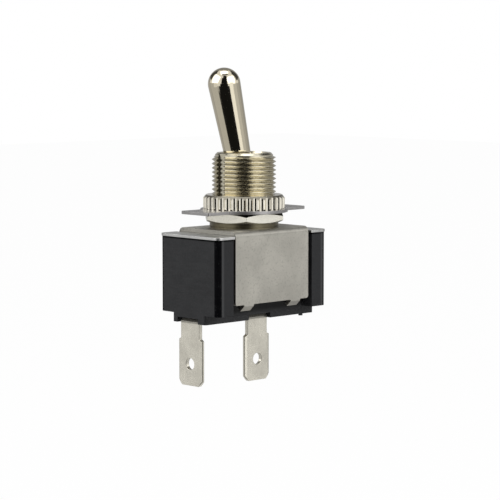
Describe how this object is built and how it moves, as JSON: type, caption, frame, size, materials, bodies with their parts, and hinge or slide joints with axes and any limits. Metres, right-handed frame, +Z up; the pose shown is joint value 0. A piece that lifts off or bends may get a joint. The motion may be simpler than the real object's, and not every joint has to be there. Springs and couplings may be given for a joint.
{
  "type": "panel toggle switch",
  "caption": "Bat-handle toggle switch with a threaded bushing, face and back nuts, a legend plate, a sheet-metal yoke, a moulded base and push-on blade terminals.",
  "frame": {"origin": "on the bushing's axis, at the top face of the sheet-metal yoke under the collar", "axes": "+Z up along the bushing's axis, towards the handle; +X along the base, towards the ON side; the handle rests at OFF, towards -X"},
  "size_m": [0.0284, 0.0164, 0.0579],
  "materials": {
    "base_plastic": "dark thermoset with a low sheen",
    "plate_steel": "zinc-plated, satin",
    "fibre_card": "insulating fibre",
    "yoke_steel": "zinc-plated, satin",
    "bushing_nickel": "nickel over brass, warm",
    "nut_nickel": "bright nickel",
    "legend_steel": "dull plated sheet",
    "fluted_nickel": "nickel over brass, warm",
    "blade_tin": "tin-plated brass, satin",
    "rivet_brass": "plain",
    "contact_silver": "silver",
    "lever_nickel": "polished nickel",
    "pin_steel": "plain",
    "spring_steel": "plain wire",
    "plunger_nylon": "natural nylon",
    "rocker_copper": "copper strip",
    "saddle_nylon": "natural nylon"
  },
  "bodies": {
    "body": {"base_housing": "base_plastic", "cover_plate": "plate_steel", "insulator_card": "fibre_card", "frame_yoke": "yoke_steel", "threaded_bushing": "bushing_nickel", "hex_back_nut": "nut_nickel", "legend_plate": "legend_steel", "fluted_face_nut": "fluted_nickel", "line_terminal": "blade_tin", "load_terminal": "blade_tin", "line_rivet": "rivet_brass", "load_rivet": "rivet_brass", "fixed_contact": "contact_silver"},
    "lever": {"bat_lever": "lever_nickel", "pivot_pin": "pin_steel", "plunger_spring": "spring_steel"},
    "plunger_body": {"plunger": "plunger_nylon"},
    "rocker": {"contact_rocker": "rocker_copper", "rocker_saddle": "saddle_nylon", "moving_contact": "contact_silver"}
  },
  "joints": [
    {"name": "lever_swing", "type": "hinge", "parent": "body", "child": "lever", "pos_m": [0, 0, 0.0071], "axis": [0, 1, 0], "range_deg": [0, 29]},
    {"name": "plunger_slide", "type": "slide", "parent": "lever", "child": "plunger_body", "axis": [-0.2504, 0, 0.9681], "range_m": [0, 0.0012], "stiffness_N_per_m": 900, "springref_m": -0.002, "deforming": ["plunger_spring"]},
    {"name": "rocker_tip", "type": "hinge", "parent": "body", "child": "rocker", "pos_m": [0, 0, -0.01085], "axis": [0, 1, 0], "range_deg": [-12, 0]}
  ],
  "couplings": [
    {"joint": "rocker_tip", "follows": "lever_swing", "ratio": -0.41379}
  ]
}
